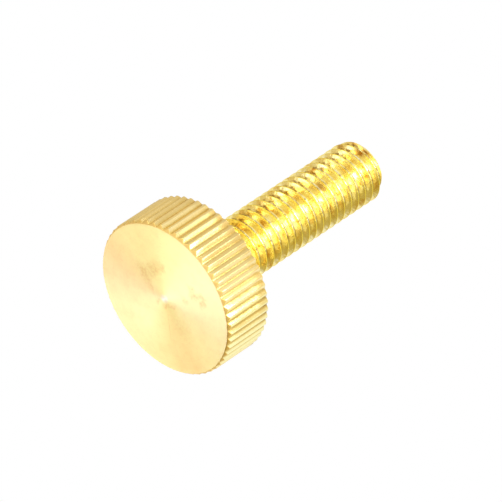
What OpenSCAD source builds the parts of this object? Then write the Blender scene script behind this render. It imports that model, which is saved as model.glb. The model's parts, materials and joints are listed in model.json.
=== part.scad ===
// Knurled thumb screw, turned from one length of brass bar.
// The screw stands on the flat outer face of its head, at z = 0, with its tip up.
// Millimetres throughout, and the screw's own axis is the Z axis.

/* [Head] */
// Diameter over the tips of the knurl teeth
head_d = 20; // [14:0.5:30]
// Thickness of the head, from its outer face to its bearing face
head_t = 6.8; // [4:0.1:12]
// Length along the axis of the bevel at the outer face
face_bevel_len = 0.42; // [0.2:0.02:1]
// How far that bevel reaches below the bottom of the knurl grooves
face_bevel_step = 0.02; // [0.01:0.01:0.3]
// Bevel on the teeth at the bearing face
back_bevel = 0.12; // [0.05:0.01:0.3]
// Diameter of the centre mark left on the outer face by the lathe
centre_mark_d = 0.5; // [0.2:0.05:1]
// Depth of the centre mark
centre_mark_depth = 0.15; // [0.05:0.01:0.4]

/* [Knurl] */
// Distance from one tooth to the next around the rim
knurl_pitch = 1.12; // [0.9:0.02:1.6]
// Angle between the two sides of each groove, in degrees
knurl_angle = 116; // [90:1:140]
// Radius along the bottom of each groove
knurl_root = 0.1; // [0.04:0.01:0.16]
// Width of the flat left along the tip of each tooth
knurl_land = 0.1; // [0.05:0.01:0.3]

/* [Shank] */
// Diameter over the crests of the thread
thread_d = 7.8; // [4:0.1:10]
// Length from the bearing face to the tip
shank_len = 27.5; // [12:0.5:60]
// Radius where the shank meets the head
neck_fillet = 0.3; // [0.1:0.05:0.8]
// Bevel at the tip that leads the screw into its hole
tip_bevel = 0.4; // [0.2:0.05:1]

/* [Hidden] */
$fn = 96;

head_r = head_d / 2;
thread_r = thread_d / 2;
total_len = head_t + shank_len;
knurl_teeth = round(PI * head_d / knurl_pitch);
groove_width = PI * head_d / knurl_teeth - knurl_land;
groove_slant = knurl_angle / 2;
groove_depth = groove_width / 2 / tan(groove_slant) - knurl_root * (1 / sin(groove_slant) - 1);
root_r = head_r - groove_depth;
face_r = root_r - face_bevel_step;
// the cutters run this far past the surface that they cut
overrun = 0.05;

// One groove, seen along the axis, with the bottom of its rounded V on +X
module knurl_groove() {
    centre = root_r + knurl_root;
    bend_x = centre - knurl_root * sin(groove_slant);
    bend_y = knurl_root * cos(groove_slant);
    mouth_x = head_r + overrun;
    mouth_y = bend_y + (mouth_x - bend_x) * tan(groove_slant);
    translate([centre, 0]) circle(r = knurl_root);
    polygon([[bend_x, -bend_y], [mouth_x, -mouth_y], [mouth_x, mouth_y], [bend_x, bend_y]]);
}

// The straight knurl: a round bar with its grooves rolled in, a tooth on +X
module knurled_bar() {
    linear_extrude(height = head_t)
        difference() {
            circle(r = head_r);
            for (i = [0 : knurl_teeth - 1])
                rotate((i + 0.5) * 360 / knurl_teeth) knurl_groove();
        }
}

// What the lathe leaves of the bar: the outer face, its bevel and the bearing face
module head_turning() {
    rotate_extrude()
        polygon([
            [0, centre_mark_depth],
            [centre_mark_d / 2, 0],
            [face_r, 0],
            [head_r + overrun, face_bevel_len * (head_r + overrun - face_r) / (head_r - face_r)],
            [head_r + overrun, head_t - back_bevel - overrun],
            [head_r - back_bevel, head_t],
            [0, head_t]
        ]);
}

module head() {
    intersection() {
        knurled_bar();
        head_turning();
    }
}

// The shank at the diameter of the thread's crests, bevelled at the tip
module shank() {
    rotate_extrude()
        polygon([
            [0, head_t],
            [thread_r, head_t],
            [thread_r, total_len - tip_bevel],
            [thread_r - tip_bevel, total_len],
            [0, total_len]
        ]);
}

// The rounded inside corner between the bearing face and the shank
module neck() {
    rotate_extrude()
        translate([thread_r, head_t])
            difference() {
                square(neck_fillet);
                translate([neck_fillet, neck_fillet]) circle(r = neck_fillet);
            }
}

module thumb_screw() {
    color("goldenrod")
        union() {
            head();
            shank();
            neck();
        }
}

thumb_screw();
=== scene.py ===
"""A brass thumb screw with a straight knurl and a helical thread, standing on its head."""

import json
import math
import random

import bmesh
import bpy
import numpy as np
from mathutils import Matrix, Vector


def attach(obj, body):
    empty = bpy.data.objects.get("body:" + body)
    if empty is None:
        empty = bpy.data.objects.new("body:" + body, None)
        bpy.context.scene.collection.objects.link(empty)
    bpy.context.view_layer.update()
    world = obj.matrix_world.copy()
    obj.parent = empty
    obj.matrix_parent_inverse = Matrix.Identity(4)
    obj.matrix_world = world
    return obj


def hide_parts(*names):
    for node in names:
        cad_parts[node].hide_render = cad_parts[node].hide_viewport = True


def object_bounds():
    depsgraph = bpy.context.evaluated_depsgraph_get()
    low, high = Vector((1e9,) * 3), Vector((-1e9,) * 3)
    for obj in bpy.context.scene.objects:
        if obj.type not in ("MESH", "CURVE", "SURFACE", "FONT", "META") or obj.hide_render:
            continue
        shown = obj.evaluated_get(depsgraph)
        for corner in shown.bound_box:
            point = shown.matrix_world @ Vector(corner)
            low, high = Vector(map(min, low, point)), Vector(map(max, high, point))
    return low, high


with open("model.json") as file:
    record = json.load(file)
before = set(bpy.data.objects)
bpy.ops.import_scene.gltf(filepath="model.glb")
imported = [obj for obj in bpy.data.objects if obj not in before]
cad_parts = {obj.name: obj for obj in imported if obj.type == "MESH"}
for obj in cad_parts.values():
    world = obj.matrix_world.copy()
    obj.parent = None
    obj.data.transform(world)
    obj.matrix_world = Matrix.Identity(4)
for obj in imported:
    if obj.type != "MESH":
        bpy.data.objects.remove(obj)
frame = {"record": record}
cad_low, cad_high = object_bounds()

# ---------------------------------------------------------------- sizes, in millimetres
MM = 0.001
NODE = "thumb_screw"
MOUNTS = {mount["name"]: mount for mount in frame["record"]["mounts"]}

HEAD_RADIUS = cad_high.x / MM
TIP_Z = cad_high.z / MM
HEAD_THICKNESS = MOUNTS["bearing_face"]["pos_m"][2] / MM
THREAD_RADIUS = MOUNTS["shank"]["dims"]["r_mm"]

# the knurl
TEETH = 56
TOOTH_DEPTH = 0.30
TOOTH_LAND = 0.08  # width of the flat along each tooth
TOOTH_CREST_BLEND = 0.04  # half the width of the bend on either side of that flat
TOOTH_ROOT_BLEND = 0.09  # half the width of the bend along the bottom of each groove
TOOTH_WEAR = 0.035  # the most that any tooth is worn down
WEAR_SEED = 8

# the outer face, the bevel on the tooth ends beside it, called the nose, and the bearing face
FACE_STEP = 0.02  # the bevel starts this far below the bottom of the grooves
FACE_RADIUS = HEAD_RADIUS - TOOTH_DEPTH - FACE_STEP
FACE_BEVEL = 0.42
BACK_BEVEL = 0.12
CENTRE_MARK_RADIUS = 0.25
CENTRE_MARK_DEPTH = 0.15

# sizes of the rounded edges, and where the rings that round them lie, as shares of those sizes
FACE_EDGE = 0.05
FACE_EDGE_MIDDLE = 0.2
NOSE_EDGE = 0.05
NOSE_EDGE_START = 0.6
NOSE_EDGE_IN, NOSE_EDGE_UP = 0.12, 0.3
NOSE_EDGE_END = 1.2
BACK_EDGE = 0.04
BACK_EDGE_MIDDLE = 0.3

# the thread
PITCH = 1.25
THREAD_CREST = 0.08  # width of the flat along the crest
THREAD_CREST_BLEND = 0.01  # half the width of the bend on either side of that flat
THREAD_DEPTH = 0.74
THREAD_SLANT = math.radians(28.5)  # of each side of the groove, from square to the axis
THREAD_FLANK = 1 / math.tan(THREAD_SLANT)
THREAD_SHARP = THREAD_FLANK * (PITCH - THREAD_CREST) / 2  # depth of the V if its root were sharp
THREAD_ROOT = (THREAD_SHARP - THREAD_DEPTH) / (1 / math.sin(THREAD_SLANT) - 1)  # radius of the root
THREAD_ROOT_REACH = THREAD_ROOT * math.cos(THREAD_SLANT)  # half the width of that rounded root
THREAD_CREST_Z = 11.95  # a crest's height above the outer face, on the side that CREST_SIDE gives
CREST_SIDE = 91.75  # degrees round the axis
NECK_FILLET = 0.3
RUN_OUT_START = 0.5  # plain length between the neck and the thread's first mark
RUN_OUT = 1.6  # the thread deepens to its full form over this length
TIP_BEVEL = 0.4

# where the rings across one turn of the thread lie, closer together where its outline bends
CREST_SHARES = (-1, -0.3, 0.3, 1)  # of the bend beside the crest
FLANK_SHARES = (0.33, 0.67)  # of the straight side
ROOT_SHARES = (1, 0.8, 0.55, 0.27)  # of half the rounded root

# columns of the mesh, in each tooth and then round the head, the shank and the faces' middles
TOOTH_COLUMNS = 16
HEAD_COLUMNS = TEETH * TOOTH_COLUMNS
SHANK_COLUMNS = HEAD_COLUMNS // 7
CORE_COLUMNS = SHANK_COLUMNS // 4

# radius and column count of each ring on the flat faces, from the outer face's middle onwards
FACE_RINGS = ((3, CORE_COLUMNS), (6, SHANK_COLUMNS), (FACE_RADIUS - 0.5, SHANK_COLUMNS))
BEARING_RINGS = ((9.3, HEAD_COLUMNS), (8, SHANK_COLUMNS), (6, SHANK_COLUMNS))

# where the other rings lie
NOSE_SHARES = (0.12, 0.5)  # of the way along the bevel
SIDE_SHARES = (0.25, 0.5, 0.75, 1)  # of the way up the knurl
NECK_ANGLES = (0, 18, 36, 54, 72, 90)  # degrees round the neck's fillet
TIP_SHARE = 0.5  # of the tip's radius

SHARP_ANGLE = math.radians(32)
FACE_FINISH, KNURL_FINISH, NOSE_FINISH, THREAD_FINISH = range(4)


class Skin:
    """The points and faces of one closed mesh, in rings that all run the same way round the axis."""

    def __init__(self):
        self.points, self.faces, self.finishes = [], [], []

    def ring(self, radius, height, columns):
        """Adds a ring and returns its point numbers.

        radius and height are numbers, or hold one number for each column."""
        turn = np.arange(columns) * (math.tau / columns)
        radius, height = np.broadcast_to(radius, columns), np.broadcast_to(height, columns)
        first = len(self.points)
        self.points += list(zip(radius * np.cos(turn), radius * np.sin(turn), height))
        return list(range(first, first + columns))

    def face(self, corners, finish):
        """Adds a face, leaving out corners that repeat, unless fewer than three are left."""
        kept = [c for i, c in enumerate(corners) if c != corners[i - 1]]
        if len(kept) > 2:
            self.faces.append(kept)
            self.finishes.append(finish)

    def join(self, one, two, finish):
        """Fills between two rings. The column count of one ring is a multiple of the other's."""
        coarse, fine = sorted((one, two), key=len)
        share = len(fine) // len(coarse)
        for i in range(len(coarse)):
            near, far = coarse[i], coarse[(i + 1) % len(coarse)]
            for k in range(share):
                a, b = fine[i * share + k], fine[(i * share + k + 1) % len(fine)]
                if k == share // 2:
                    corners = [near, far, b, a]
                else:
                    corners = [near if k < share // 2 else far, b, a]
                self.face(corners if coarse is one else corners[::-1], finish)

    def cap(self, ring, centre, finish, closes_end):
        """Fills a ring to one point on the axis. closes_end is true where the ring is the last one."""
        self.points.append((0.0, 0.0, centre))
        hub = len(self.points) - 1
        for i, a in enumerate(ring):
            b = ring[(i + 1) % len(ring)]
            self.face([a, b, hub] if closes_end else [hub, b, a], finish)

    def mesh(self, name):
        """The Blender mesh, smooth except along its sharp edges."""
        made = bpy.data.meshes.new(name)
        made.from_pydata([Vector(p) * MM for p in self.points], [], self.faces)
        made.polygons.foreach_set("material_index", self.finishes)
        made.shade_smooth()
        made.set_sharp_from_angle(angle=SHARP_ANGLE)
        made.update()
        return made


def eased(distance, blend):
    """distance where it is past blend, 0 where it is under -blend, and a smooth bend between."""
    bend = (distance + blend) ** 2 / (4 * blend)
    return np.where(distance > blend, distance, np.where(distance < -blend, 0.0, bend))


def tooth_radius():
    """The knurl's outline: the radius at each column of the head, with a crest on +X."""
    chance = random.Random(WEAR_SEED)
    wear = np.array([chance.uniform(0, TOOTH_WEAR) for _ in range(TEETH)])
    place = np.arange(HEAD_COLUMNS) / TOOTH_COLUMNS
    tooth = np.round(place).astype(int) % TEETH
    width = math.tau * HEAD_RADIUS / TEETH
    across = np.abs(place - np.round(place)) * width
    slope = TOOTH_DEPTH / (width / 2 - TOOTH_LAND / 2)
    from_root = width / 2 - across
    rounded = (from_root ** 2 + TOOTH_ROOT_BLEND ** 2) / (2 * TOOTH_ROOT_BLEND)
    from_root = np.where(from_root < TOOTH_ROOT_BLEND, rounded, from_root)
    depth = slope * eased(width / 2 - from_root - TOOTH_LAND / 2, TOOTH_CREST_BLEND)
    worn = wear[tooth] * (1 - across / (width / 2))
    return HEAD_RADIUS - depth - worn


def add_head(skin):
    """The outer face, the bevelled tooth ends, the knurl and the bearing face.

    Returns the neck's first ring."""
    inner = skin.ring(CENTRE_MARK_RADIUS, 0, CORE_COLUMNS)
    skin.cap(inner, CENTRE_MARK_DEPTH, FACE_FINISH, closes_end=False)
    for radius, columns in FACE_RINGS:
        outer = skin.ring(radius, 0, columns)
        skin.join(inner, outer, FACE_FINISH)
        inner = outer
    tooth = tooth_radius()
    bevel_run = FACE_BEVEL / (HEAD_RADIUS - FACE_RADIUS)
    nose_width = tooth - FACE_RADIUS
    nose_z = nose_width * bevel_run
    back = np.maximum(BACK_EDGE, tooth - (HEAD_RADIUS - BACK_BEVEL))
    side_low = nose_z + NOSE_EDGE * NOSE_EDGE_END
    side_high = HEAD_THICKNESS - back

    bend = FACE_EDGE * FACE_EDGE_MIDDLE
    rows = [(FACE_RADIUS - FACE_EDGE, 0.0, FACE_FINISH)]
    rows += [(FACE_RADIUS - bend, bend * bevel_run, FACE_FINISH)]
    for share in (*NOSE_SHARES, 1 - NOSE_EDGE / nose_width * NOSE_EDGE_START):
        rows += [(FACE_RADIUS + nose_width * share, nose_z * share, NOSE_FINISH)]
    rows += [(tooth - NOSE_EDGE * NOSE_EDGE_IN, nose_z + NOSE_EDGE * NOSE_EDGE_UP, NOSE_FINISH)]
    rows += [(tooth, side_low, NOSE_FINISH)]
    for share in SIDE_SHARES:
        rows += [(tooth, side_low + (side_high - side_low) * share, KNURL_FINISH)]
    bend = back * BACK_EDGE_MIDDLE
    rows += [(tooth - bend, HEAD_THICKNESS - bend, KNURL_FINISH)]
    rows += [(tooth - back, HEAD_THICKNESS, KNURL_FINISH)]
    for radius, height, finish in rows:
        outer = skin.ring(radius, height, HEAD_COLUMNS)
        skin.join(inner, outer, finish)
        inner = outer
    for radius, columns in BEARING_RINGS:
        outer = skin.ring(radius, HEAD_THICKNESS, columns)
        skin.join(inner, outer, FACE_FINISH)
        inner = outer
    return inner


def add_neck(skin, inner):
    """The rounded corner between the bearing face and the shank. Returns the shank's first ring."""
    for degrees in NECK_ANGLES:
        turn = math.radians(degrees)
        radius = THREAD_RADIUS + NECK_FILLET * (1 - math.sin(turn))
        height = HEAD_THICKNESS + NECK_FILLET * (1 - math.cos(turn))
        outer = skin.ring(radius, height, SHANK_COLUMNS)
        skin.join(inner, outer, THREAD_FINISH if degrees else FACE_FINISH)
        inner = outer
    return inner


def thread_depth(across):
    """How far the groove lies below the crests, at a distance along the axis from a crest's middle."""
    across = np.abs((across + PITCH / 2) % PITCH - PITCH / 2)
    flank = THREAD_FLANK * eased(across - THREAD_CREST / 2, THREAD_CREST_BLEND)
    from_root = np.minimum(PITCH / 2 - across, THREAD_ROOT_REACH)
    arc = np.sqrt(THREAD_ROOT ** 2 - from_root ** 2)
    root = THREAD_SHARP - THREAD_ROOT / math.sin(THREAD_SLANT) + arc
    return np.where(PITCH / 2 - across < THREAD_ROOT_REACH, root, flank)


def thread_places():
    """Distances along the axis from one crest's middle to the next, one for each ring of a turn."""
    crest = [THREAD_CREST / 2 + THREAD_CREST_BLEND * share for share in CREST_SHARES]
    root = [PITCH / 2 - THREAD_ROOT_REACH * share for share in ROOT_SHARES]
    flank = [crest[-1] + (root[0] - crest[-1]) * share for share in FLANK_SHARES]
    half = [0, *crest, *flank, *root]
    return half + [PITCH / 2] + [PITCH - across for across in half[:0:-1]]


def add_shank(skin, inner):
    """The threaded shank. Its grid follows the helix, and is cut level at the neck and at the tip."""
    low, high = HEAD_THICKNESS + NECK_FILLET, TIP_Z
    tip_radius = THREAD_RADIUS - TIP_BEVEL
    places = thread_places()
    samples = len(places)
    depths = thread_depth(np.array(places))
    first = THREAD_CREST_Z - CREST_SIDE / 360 * PITCH
    first -= PITCH * math.ceil((first - low) / PITCH + 1)
    turns = math.ceil((high - first) / PITCH) + 1
    share = np.arange(SHANK_COLUMNS) / SHANK_COLUMNS
    cut = THREAD_RADIUS - thread_depth(high - first - PITCH * share)
    end = skin.ring(np.minimum(cut, tip_radius), high, SHANK_COLUMNS)

    numbers = {}
    for row in range(turns * samples + 1):
        turn, sample = divmod(row, samples)
        for column in range(SHANK_COLUMNS):
            share = column / SHANK_COLUMNS
            height = first + PITCH * (turn + share) + places[sample]
            if height <= low:
                numbers[row, column] = inner[column]
            elif height >= high:
                numbers[row, column] = end[column]
            else:
                fade = min(1, max(0, (height - low - RUN_OUT_START) / RUN_OUT))
                radius = THREAD_RADIUS - depths[sample] * fade
                radius = min(radius, tip_radius + high - height)
                angle = share * math.tau
                numbers[row, column] = len(skin.points)
                skin.points.append((radius * math.cos(angle), radius * math.sin(angle), height))
    for row in range(turns * samples):
        for column in range(SHANK_COLUMNS):
            there = (row, column + 1)
            above = (row + 1, column + 1)
            if column + 1 == SHANK_COLUMNS:
                there = (row + samples, 0)
                above = (row + 1 + samples, 0)
            keys = ((row, column), there, above, (row + 1, column))
            corners = [numbers.get(key, end[key[1]]) for key in keys]
            skin.face(corners, THREAD_FINISH)
    outer = skin.ring(tip_radius * TIP_SHARE, high, CORE_COLUMNS)
    skin.join(end, outer, FACE_FINISH)
    skin.cap(outer, high, FACE_FINISH, closes_end=True)


# ---------------------------------------------------------------- materials
MIX_SHARE, MIX_ONE, MIX_TWO, MIX_RESULT = 0, 6, 7, 2  # a Mix node's sockets for colours


class Nodes:
    """A short way to write a material's node tree."""

    def __init__(self, tree):
        self.tree = tree
        tree.nodes.clear()

    def add(self, kind, settings=None, **inputs):
        """A new node. An input is given by its name, with _ for a space, or as _ and its number."""
        node = self.tree.nodes.new("ShaderNode" + kind)
        for name, value in (settings or {}).items():
            setattr(node, name, value)
        for name, value in inputs.items():
            self.fill(node.inputs[int(name[1:]) if name[0] == "_" else name.replace("_", " ")], value)
        return node

    def fill(self, socket, value):
        """Links a socket to another node's output, or sets it to a plain value."""
        if isinstance(value, bpy.types.NodeSocket):
            self.tree.links.new(value, socket)
        else:
            socket.default_value = value

    def math(self, operation, one, two=0.0, three=0.0):
        """The result of a Math node."""
        return self.add("Math", {"operation": operation}, _0=one, _1=two, _2=three).outputs[0]

    def between(self, value, low, high, top=1.0):
        """0 at low and top at high, kept inside that range."""
        return self.add("MapRange", Value=value, From_Min=low, From_Max=high, To_Max=top).outputs[0]

    def mix(self, share, one, two):
        """The colour one where share is 0, and the colour two where it is 1."""
        node = self.add("Mix", {"data_type": "RGBA"})
        self.fill(node.inputs[MIX_SHARE], share)
        self.fill(node.inputs[MIX_ONE], one)
        self.fill(node.inputs[MIX_TWO], two)
        return node.outputs[MIX_RESULT]

    def noise(self, place, scale, detail, roughness=0.5):
        """Soft noise round 0.5."""
        made = self.add("TexNoise", Vector=place, Scale=scale, Detail=detail, Roughness=roughness)
        return made.outputs[0]

    def length(self, vector):
        """How long a vector is."""
        return self.add("VectorMath", {"operation": "LENGTH"}, _0=vector).outputs["Value"]


def colour(red, green, blue):
    """A colour written as a screen shows it, 0 to 255, in the linear values that Blender takes."""
    return tuple(
        (part / 255 / 12.92) if part <= 10 else ((part / 255 + 0.055) / 1.055) ** 2.4
        for part in (red, green, blue)
    ) + (1.0,)


BRASS = colour(254, 232, 165)
# paler brass on one side of the knurl, a painted highlight
PAINTED_SHEEN_BRASS = colour(255, 246, 182)
FACE_BRASS = colour(255, 240, 149)
# the painted highlight round the centre mark of the outer face
PAINTED_CENTRE_HIGHLIGHT = colour(255, 244, 200)
STAIN = colour(236, 197, 106)
# painted shade over the outer face's -y side, mixed with its faint haze, rings and specks
SHADE_AND_SMUDGE = colour(250, 216, 128)
# darker brass on the bevelled tooth ends, painted shade
NOSE_SHADED_BRASS = colour(240, 204, 122)
TARNISH = colour(238, 204, 112)
# darker at the bottom of the knurl's grooves on one side
GROOVE_DARKENING = colour(204, 171, 88)
THREAD_BRASS = colour(250, 232, 150)
# paler patches on the thread, painted highlights
PAINTED_THREAD_HIGHLIGHT = colour(255, 246, 192)
THREAD_CREST_BRASS = colour(255, 230, 84)
BROWN = colour(222, 172, 70)
DARK_BROWN = colour(178, 122, 40)
# painted shade down in the thread's groove
ROOT_SHADE = colour(150, 108, 34)


def brass(name):
    """A material with what every finish shares.

    Returns it with its nodes, the place in millimetres, that place's x, y and z, and its distance
    from the axis."""
    material = bpy.data.materials.new(name)
    material.use_nodes = True
    nodes = Nodes(material.node_tree)
    place = nodes.add("TexCoord").outputs["Object"]
    place = nodes.add("VectorMath", {"operation": "SCALE"}, _0=place, Scale=1 / MM).outputs[0]
    parts = nodes.add("SeparateXYZ", Vector=place).outputs
    flat = nodes.add("CombineXYZ", X=parts[0], Y=parts[1]).outputs[0]
    return material, nodes, place, parts, nodes.length(flat)


def close(nodes, shade, roughness, height, bump, anisotropy=0.0, rotation=0.0, depth=0.02):
    """Ends a material: metal of that shade and roughness, with a bump depth millimetres deep."""
    around = nodes.add("Tangent", {"direction_type": "RADIAL", "axis": "Z"}).outputs[0]
    normal = nodes.add("Bump", Height=height, Strength=bump, Distance=depth * MM).outputs[0]
    shader = nodes.add(
        "BsdfPrincipled",
        Base_Color=shade,
        Metallic=1.0,
        Roughness=roughness,
        Normal=normal,
        Anisotropic=anisotropy,
        Anisotropic_Rotation=rotation,
        Tangent=around,
    )
    nodes.add("OutputMaterial", Surface=shader.outputs[0])


def warped(nodes, place, scale, reach):
    """The place moved about by up to half of reach, so that what is drawn with it has ragged edges."""
    noise = nodes.add("TexNoise", Vector=place, Scale=scale, Detail=3.0).outputs["Color"]
    moved = nodes.add("VectorMath", {"operation": "MULTIPLY_ADD"}, _0=noise, _1=(reach,) * 3, _2=place)
    back = (reach / 2,) * 3
    return nodes.add("VectorMath", {"operation": "SUBTRACT"}, _0=moved.outputs[0], _1=back).outputs[0]


def stretched(nodes, place, scale):
    """The place with its x, y and z multiplied by scale."""
    return nodes.add("Mapping", Vector=place, Scale=scale).outputs[0]


def toward_side(nodes, place, degrees, radius):
    """1 at that radius on the side at that angle round the axis, and 0 at right angles to it."""
    turn = math.radians(degrees)
    side = Vector((math.cos(turn), math.sin(turn), 0)) / radius
    return nodes.add("VectorMath", {"operation": "DOT_PRODUCT"}, _0=place, _1=side).outputs["Value"]


def blot(nodes, place, centre, reach, strength, core, turn=0.0):
    """A stain: strength in its core, and 0 outside.

    reach is half its size along each axis before it is turned, and core is its core's share of that."""
    inside = nodes.add(
        "Mapping",
        {"vector_type": "TEXTURE"},
        Vector=place,
        Location=centre,
        Rotation=(0, 0, math.radians(turn)),
        Scale=reach,
    ).outputs[0]
    return nodes.between(nodes.length(inside), 1.0, core, top=strength)


def most(nodes, shares):
    """The highest of several shares."""
    top = shares[0]
    for share in shares[1:]:
        top = nodes.math("MAXIMUM", top, share)
    return top


# x, y, half length, half width, turn in degrees and strength of each mark on the outer face
FACE_STAINS = (
    (4.0, -0.3, 1.9, 1.3, 10, 0.9),
    (3.6, 1.4, 2.2, 1.3, 100, 0.9),
    (2.9, 3.0, 1.1, 0.7, 0, 0.8),
    (2.2, -0.8, 1.0, 0.5, 20, 0.7),
    (-3.6, -0.6, 3.0, 1.6, 0, 0.4),
    (-3.1, 5.4, 1.2, 0.6, 60, 1.0),
    (-2.4, 6.0, 0.9, 0.5, -20, 0.9),
    (-1.9, 5.1, 1.1, 0.6, -75, 0.9),
    (-1.0, 5.3, 0.9, 0.7, 0, 0.6),
    (-1.5, 3.2, 0.9, 0.6, 0, 0.7),
    (-1.2, 0.3, 0.9, 0.5, 115, 0.8),
    (-0.8, -0.5, 0.6, 0.4, -30, 0.9),
    (0.2, -1.2, 0.6, 0.4, 60, 0.8),
)
SCRATCH = (-3.0, -2.4, 2.7, 0.08, 42, 0.8)
LESS_SHADED_SPOT = (-1.0, -5.2, 2.8, 2.8, 0, 0.4)  # a spot with less of the painted shade than the -y side round it
SIDE_SHADE_STRENGTH = 0.5  # strength of the painted shade over the outer face's -y side
CENTRE_HIGHLIGHT_RADIUS = 0.7  # of the painted highlight round the centre mark


def face_mark(nodes, place, mark):
    """One mark of those above, soft from its middle to its edge."""
    x, y, length, width, turn, strength = mark
    return blot(nodes, place, (x, y, 0), (length, width, 1), strength, core=0.0, turn=turn)


def face_brass():
    """The turned faces: fine rings round the axis, faint stains on the outer one, painted shade over
    its -y side and a painted highlight round its centre mark.
    """
    material, nodes, place, parts, radius = brass("brass_turned_face")
    ragged = warped(nodes, place, 1.1, 1.6)
    outer_face = nodes.between(parts[2], 1.0, 0.5)
    clouds = nodes.noise(place, 0.55, 5.0, 0.6)
    specks = nodes.noise(place, 3.0, 3.0, 0.6)
    rings = nodes.add("TexNoise", {"noise_dimensions": "1D"}, W=radius, Scale=9.0, Detail=3.0)
    rings = rings.outputs[0]

    # painted shade over the -y side of the outer face, less of it in one spot
    side_shade = nodes.math("SUBTRACT", SIDE_SHADE_STRENGTH, face_mark(nodes, ragged, LESS_SHADED_SPOT))
    side_shade = nodes.math("MULTIPLY", nodes.between(parts[1], 0.5, -2.5), side_shade)
    shade_and_haze = nodes.math("MULTIPLY", side_shade, outer_face)
    shade_and_haze = nodes.math("ADD", shade_and_haze, nodes.between(clouds, 0.45, 0.75, top=0.35))
    shade_and_haze = nodes.math("ADD", shade_and_haze, nodes.between(rings, 0.55, 0.7, top=0.1))
    shade_and_haze = nodes.math("ADD", shade_and_haze, nodes.between(specks, 0.55, 0.75, top=0.3))
    shade = nodes.mix(nodes.math("MINIMUM", shade_and_haze, 1.0), FACE_BRASS, SHADE_AND_SMUDGE)

    marks = [face_mark(nodes, ragged, mark) for mark in FACE_STAINS]
    marks.append(face_mark(nodes, place, SCRATCH))
    patchy = nodes.math("ADD", nodes.between(specks, 0.4, 0.6, top=0.5), 0.5)
    stained = nodes.math("MULTIPLY", most(nodes, marks), patchy)
    shade = nodes.mix(nodes.math("MULTIPLY", stained, outer_face), shade, STAIN)
    # painted highlight round the centre mark
    centre_highlight = nodes.math("MULTIPLY", nodes.between(radius, CENTRE_HIGHLIGHT_RADIUS, 0.0), outer_face)
    shade = nodes.mix(centre_highlight, shade, PAINTED_CENTRE_HIGHLIGHT)
    height = nodes.math("MULTIPLY_ADD", clouds, 10.0, rings)
    close(nodes, shade, roughness=0.6, height=height, bump=0.15, anisotropy=0.8, rotation=0.25)
    return material


PAINTED_SHEEN_SIDE = 149  # degrees round the axis, of the side of the knurl painted paler as a highlight


def in_groove(nodes, radius, start, end):
    """0 down to that share of the groove's depth, start, and 1 below that share, end."""
    return nodes.between(radius, HEAD_RADIUS - TOOTH_DEPTH * start, HEAD_RADIUS - TOOTH_DEPTH * end)


def painted_sheen_side(nodes, place):
    """1 on the side of the rim that has the painted highlight, and 0 on the rest of it."""
    return nodes.between(toward_side(nodes, place, PAINTED_SHEEN_SIDE, HEAD_RADIUS), 0.83, 0.95)


def groove_darkening(nodes, place, radius):
    """Darker at the bottom of the knurl's grooves, on the side with the painted highlight."""
    return nodes.math("MULTIPLY", in_groove(nodes, radius, 0.6, 0.95), painted_sheen_side(nodes, place))


def knurl_brass():
    """The knurl: bright along the teeth, with a warm tarnish down in the grooves, paler teeth on one
    side as a painted highlight, and darker groove bottoms on that side.
    """
    material, nodes, place, _, radius = brass("brass_knurl")
    marks = nodes.noise(stretched(nodes, place, (0.8, 0.8, 7.0)), 1.0, 3.0)
    grain = nodes.noise(place, 3.0, 4.0)
    low = nodes.math("MULTIPLY", in_groove(nodes, radius, 0.35, 1), nodes.between(grain, 0.1, 0.6))
    tarnished = nodes.math("MAXIMUM", low, nodes.between(grain, 0.5, 0.8, top=0.3))
    # painted highlight: the teeth paler on one side of the rim
    shade = nodes.mix(painted_sheen_side(nodes, place), BRASS, PAINTED_SHEEN_BRASS)
    shade = nodes.mix(tarnished, shade, TARNISH)
    shade = nodes.mix(groove_darkening(nodes, place, radius), shade, GROOVE_DARKENING)
    close(nodes, shade, roughness=0.22, height=nodes.math("ADD", marks, grain), bump=0.3)
    return material


def nose_brass():
    """The bevelled ends of the teeth, cut rougher than the rest, and darker by painted shade."""
    material, nodes, place, _, radius = brass("brass_nose")
    grain = nodes.noise(place, 3.0, 4.0)
    # painted shade: the bevel darker than the knurl
    shade = nodes.mix(nodes.between(grain, 0.4, 0.7), NOSE_SHADED_BRASS, TARNISH)
    shade = nodes.mix(groove_darkening(nodes, place, radius), shade, GROOVE_DARKENING)
    close(nodes, shade, roughness=0.5, height=grain, bump=0.3)
    return material


# degrees round the axis, height, half size and strength of each stain on the thread
THREAD_STAINS = (
    (66, 33.2, 1.1, 1.0),
    (38, 33.6, 0.9, 1.0),
    (20, 32.6, 0.8, 0.8),
    (78, 25.0, 1.1, 0.7),
    (108, 19.8, 0.5, 0.7),
    (91, 13.8, 0.5, 0.6),
    (128, 19.0, 0.8, 0.7),
)
STAINED_AND_SHADED_SIDE = 30  # degrees round the axis, of the side with more brown stains and painted shade higher up the groove
CREST_COLOUR_START = (8.2, 9.0)  # heights between which the crest's own colour sets in


def thread_stain(nodes, place, turn, height, reach, strength):
    """One round stain on the thread."""
    turn = math.radians(turn)
    centre = (THREAD_RADIUS * math.cos(turn), THREAD_RADIUS * math.sin(turn), height)
    return blot(nodes, place, centre, (reach,) * 3, strength, core=0.2)


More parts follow.
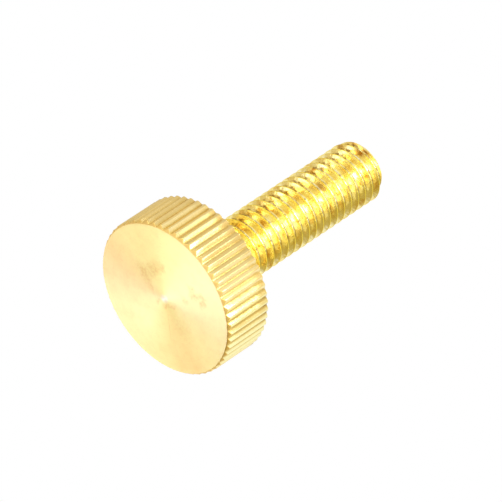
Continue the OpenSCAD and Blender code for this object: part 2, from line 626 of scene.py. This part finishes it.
def thread_brass():
    """The thread: bright crests and flanks with paler patches painted as highlights, painted shade down
    in the groove, and brown stains on one side.
    """
    material, nodes, place, parts, radius = brass("brass_thread")
    height = parts[2]
    side = toward_side(nodes, place, STAINED_AND_SHADED_SIDE, THREAD_RADIUS)
    sunk = nodes.between(radius, THREAD_RADIUS, THREAD_RADIUS - THREAD_DEPTH)
    grain = nodes.noise(place, 1.4, 2.0)
    streaks = nodes.noise(stretched(nodes, place, (0.6, 0.6, 2.0)), 0.9, 4.0, 0.65)
    streaks = nodes.math("ADD", streaks, nodes.between(side, 0.2, 1.0, top=0.05))
    streaks = nodes.math("ADD", streaks, nodes.between(height, 17.0, 9.0, top=0.07))
    mottle = nodes.between(streaks, 0.54, 0.74)

    browned = nodes.math("MAXIMUM", nodes.math("MULTIPLY", sunk, 0.12), mottle)
    shade = nodes.mix(browned, THREAD_BRASS, BROWN)
    # painted highlights: paler patches where the streaks are low
    shade = nodes.mix(nodes.between(streaks, 0.54, 0.42, top=0.8), shade, PAINTED_THREAD_HIGHLIGHT)
    crest = nodes.between(sunk, 0.08, 0.02)
    crest = nodes.math("MULTIPLY", crest, nodes.between(height, *CREST_COLOUR_START))
    shade = nodes.mix(crest, shade, THREAD_CREST_BRASS)

    ragged = warped(nodes, place, 1.6, 0.9)
    stains = [thread_stain(nodes, ragged, *stain) for stain in THREAD_STAINS]
    deep = nodes.between(streaks, 0.64, 0.74)
    stains.append(nodes.math("MULTIPLY", deep, nodes.between(grain, 0.4, 0.62)))
    shade = nodes.mix(most(nodes, stains), shade, DARK_BROWN)

    # painted shade down in the groove, reaching higher up the flank on one side
    painted_shade_depth = nodes.math("ADD", sunk, nodes.between(side, 0.72, 0.88, top=0.42))
    painted_shade_depth = nodes.math("MULTIPLY_ADD", grain, 0.2, painted_shade_depth)
    patchy = nodes.between(nodes.noise(place, 2.6, 2.0), 0.4, 0.6, top=0.8)
    root_shade = nodes.math("MULTIPLY", nodes.between(painted_shade_depth, 1.0, 1.1), patchy)
    shade = nodes.mix(root_shade, shade, ROOT_SHADE)
    rough = nodes.math("MULTIPLY_ADD", mottle, 0.12, 0.2)
    close(nodes, shade, roughness=rough, height=grain, bump=0.6, depth=0.08)
    return material


# ---------------------------------------------------------------- camera
IMAGE_SIDE = 502  # pixels
FACE_CENTRE_PIXEL = (164.55, 299.03)
PIXELS_PER_MM = 8.684  # at the face's centre
CAMERA_DISTANCE = 723.0  # millimetres from the face's centre, along the view
AXIS_TURN = math.radians(33.7)  # the axis on the image, anticlockwise from the right
AXIS_TILT = math.radians(53.2)  # the axis from the line of sight
TOOTH_TURN = math.radians(-1.75)  # of the first tooth, from the top left end of the face's ellipse
SENSOR = 36.0
CLIP_START, CLIP_END = 0.01, 20  # metres


def camera_axes():
    """Right, down and forward of the view, as directions in the row frame."""
    axis = Vector((
        math.sin(AXIS_TILT) * math.cos(AXIS_TURN),
        -math.sin(AXIS_TILT) * math.sin(AXIS_TURN),
        math.cos(AXIS_TILT),
    ))
    side = axis.cross(Vector((0, 0, 1))).normalized()
    deep = axis.cross(side)
    row_x = math.cos(TOOTH_TURN) * side + math.sin(TOOTH_TURN) * deep
    row_y = axis.cross(row_x)
    return [Vector((row_x[i], row_y[i], axis[i])) for i in range(3)]


RIGHT, DOWN, FORWARD = camera_axes()


def toward(right, up, back):
    """A direction in the row frame, given by the view's own directions."""
    return (RIGHT * right - DOWN * up - FORWARD * back).normalized()


def add_camera():
    """The photograph's camera, which looks up at the head's outer face from below the floor."""
    made = bpy.data.cameras.new("camera")
    made.sensor_width = SENSOR
    made.lens = PIXELS_PER_MM * CAMERA_DISTANCE / IMAGE_SIDE * SENSOR
    made.clip_start = CLIP_START
    made.clip_end = CLIP_END
    camera = bpy.data.objects.new("camera", made)
    bpy.context.scene.collection.objects.link(camera)
    across, below = ((pixel - IMAGE_SIDE / 2) / PIXELS_PER_MM for pixel in FACE_CENTRE_PIXEL)
    place = -(RIGHT * across + DOWN * below + FORWARD * CAMERA_DISTANCE) * MM
    turn = Matrix((RIGHT, -DOWN, -FORWARD)).transposed()
    camera.matrix_world = Matrix.Translation(place) @ turn.to_4x4()
    bpy.context.scene.camera = camera


# ---------------------------------------------------------------- stage, in metres
LAMP_DISTANCE = 0.5
CARD_DISTANCE = 0.6  # behind the lamps
CARD_SIDES = 48
CARD_CORE = 0.6  # a card's edge is soft beyond this share of its radius
FLOOR_DROP = 0.05 * MM  # keeps the floor's plane off the face that stands on it
FLOOR_REACH = 1.5  # half its side
FLOOR_NEAR, FLOOR_FAR = 0.05, 0.12  # between these distances it turns from shaded to plain white
FLOOR_GREY = (0.85, 0.85, 0.85, 1)
WORLD_LIGHT = 0.5  # the world's strength where it only lights the floor


def staged_nodes(thing):
    """The nodes of a new material, of the same name, on a piece of the stage."""
    material = bpy.data.materials.new(thing.name)
    material.use_nodes = True
    thing.data.materials.append(material)
    return Nodes(material.node_tree)


def add_floor():
    """A pale floor that shows from above only, because the camera looks up at the screw's face."""
    mesh = bpy.data.meshes.new("floor")
    signs = ((-1, -1), (1, -1), (1, 1), (-1, 1))
    corners = [(x * FLOOR_REACH, y * FLOOR_REACH, -FLOOR_DROP) for x, y in signs]
    mesh.from_pydata(corners, [], [(0, 1, 2, 3)])
    floor = bpy.data.objects.new("floor", mesh)
    bpy.context.scene.collection.objects.link(floor)
    nodes = staged_nodes(floor)
    away = nodes.length(nodes.add("TexCoord").outputs["Object"])
    white = nodes.between(away, FLOOR_NEAR, FLOOR_FAR)
    near = nodes.add("BsdfDiffuse", Color=FLOOR_GREY).outputs[0]
    far = nodes.add("Emission", Strength=1.0).outputs[0]
    top = nodes.add("MixShader", Fac=white, _1=near, _2=far).outputs[0]
    under = nodes.add("BsdfTransparent").outputs[0]
    back = nodes.add("NewGeometry").outputs["Backfacing"]
    both = nodes.add("MixShader", Fac=back, _1=top, _2=under).outputs[0]
    nodes.add("OutputMaterial", Surface=both)
    floor.visible_shadow = False
    floor.visible_glossy = False
    floor.visible_diffuse = False
    floor.visible_transmission = False


def add_world():
    """White where the camera, gloss and glass look, and half as bright where it lights the floor."""
    world = bpy.data.worlds.new("studio")
    bpy.context.scene.world = world
    world.use_nodes = True
    nodes = Nodes(world.node_tree)
    path = nodes.add("LightPath").outputs
    seen = nodes.math("MAXIMUM", path["Is Camera Ray"], path["Is Glossy Ray"])
    seen = nodes.math("MAXIMUM", seen, path["Is Transmission Ray"])
    strength = nodes.math("MULTIPLY_ADD", seen, 1 - WORLD_LIGHT, WORLD_LIGHT)
    light = nodes.add("Background", Color=(1, 1, 1, 1), Strength=strength).outputs[0]
    nodes.add("OutputWorld", Surface=light)


def place_facing(thing, direction, distance):
    """Puts a lamp or card that many metres out from the middle of the screw, turned to face it."""
    middle = Vector((0, 0, TIP_Z * MM / 2))
    turn = direction.to_track_quat("Z", "Y")
    thing.matrix_world = Matrix.Translation(middle + direction * distance) @ turn.to_matrix().to_4x4()


def add_lamp(name, direction, reach, radiance, tint):
    """A soft round lamp. reach is half its angle in degrees as the screw sees it.

    A lamp adds to what is behind it: a radiance of 1 adds as much as the white world has."""
    made = bpy.data.lights.new(name, "AREA")
    made.shape = "DISK"
    made.size = 2 * LAMP_DISTANCE * math.tan(math.radians(reach))
    made.energy = radiance * math.pi * math.pi * (made.size / 2) ** 2
    made.color = tint
    lamp = bpy.data.objects.new(name, made)
    lamp.visible_camera = False
    bpy.context.scene.collection.objects.link(lamp)
    place_facing(lamp, direction, LAMP_DISTANCE)


def add_card(name, direction, reach, shade):
    """A round card with a soft edge that only gloss sees, for the darker parts of the reflections.

    reach is as it is for a lamp, and shade is how bright the card looks."""
    size = CARD_DISTANCE * math.tan(math.radians(reach))
    bm = bmesh.new()
    bmesh.ops.create_circle(bm, cap_ends=True, radius=size, segments=CARD_SIDES)
    mesh = bpy.data.meshes.new(name)
    bm.to_mesh(mesh)
    bm.free()
    card = bpy.data.objects.new(name, mesh)
    bpy.context.scene.collection.objects.link(card)
    nodes = staged_nodes(card)
    out = nodes.length(nodes.add("TexCoord").outputs["Object"])
    edge = nodes.between(out, size * CARD_CORE, size)
    glow = nodes.add("Emission", Color=(*shade, 1)).outputs[0]
    clear = nodes.add("BsdfTransparent").outputs[0]
    mixed = nodes.add("MixShader", Fac=edge, _1=glow, _2=clear).outputs[0]
    nodes.add("OutputMaterial", Surface=mixed)
    card.visible_camera = False
    card.visible_diffuse = False
    card.visible_shadow = False
    card.visible_transmission = False
    place_facing(card, direction, CARD_DISTANCE)


NEUTRAL = (1.0, 1.0, 1.0)
COOL = (0.30, 0.30, 1.0)
WARM = (0.74, 0.66, 0.52)
TAN = (0.58, 0.49, 0.32)
DARK_TAN = (0.50, 0.41, 0.25)
OLIVE = (0.52, 0.41, 0.13)
SAND = (0.74, 0.62, 0.38)
CREAM = (0.85, 0.72, 0.50)

# direction by the view's right, up and back, half its angle, radiance and tint
LAMPS = {
    "lamp_face": ((-0.77, -0.61, 0.16), 18, 7.2, COOL),
    "lamp_right": ((0.80, 0.22, 0.56), 13, 8.2, NEUTRAL),
    "lamp_high": ((0.78, 0.56, 0.27), 9, 1.0, NEUTRAL),
    "lamp_low": ((0.90, -0.26, 0.34), 11, 2.0, NEUTRAL),
    "lamp_edge": ((0.5, 0.35, 0.79), 12, 2.0, NEUTRAL),
    "lamp_side": ((-0.93, 0.02, 0.36), 9, 1.2, NEUTRAL),
    "lamp_top": ((-0.16, 0.97, 0.16), 9, 5.0, NEUTRAL),
    "lamp_back": ((0.67, 0.44, -0.60), 12, 9.0, NEUTRAL),
}
# direction by the view's right, up and back, half its angle and shade
CARDS = {
    "card_behind": ((0.05, 0.4, -0.91), 50, WARM),
    "card_above": ((0.2, 0.95, -0.25), 32, WARM),
    "card_corner": ((-0.5, 0.83, -0.25), 27, TAN),
    "card_below": ((0.05, -0.98, 0.12), 42, OLIVE),
    "card_nose": ((-0.89, 0.41, -0.19), 14, DARK_TAN),
    "card_left": ((-1.0, 0.08, 0.02), 16, SAND),
    "card_right": ((0.93, 0.33, 0.12), 34, CREAM),
}

add_camera()
add_world()
add_floor()
for name, (direction, reach, radiance, tint) in LAMPS.items():
    add_lamp(name, toward(*direction), reach, radiance, tint)
for name, (direction, reach, shade) in CARDS.items():
    add_card(name, toward(*direction), reach, shade)

skin = Skin()
neck = add_neck(skin, add_head(skin))
add_shank(skin, neck)
screw = bpy.data.objects.new("thumb_screw_brass", skin.mesh("thumb_screw_brass"))
bpy.context.scene.collection.objects.link(screw)
for finish in (face_brass(), knurl_brass(), nose_brass(), thread_brass()):
    screw.data.materials.append(finish)
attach(screw, "root")
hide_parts(NODE)

view = bpy.context.scene.view_settings
view.view_transform = "Standard"
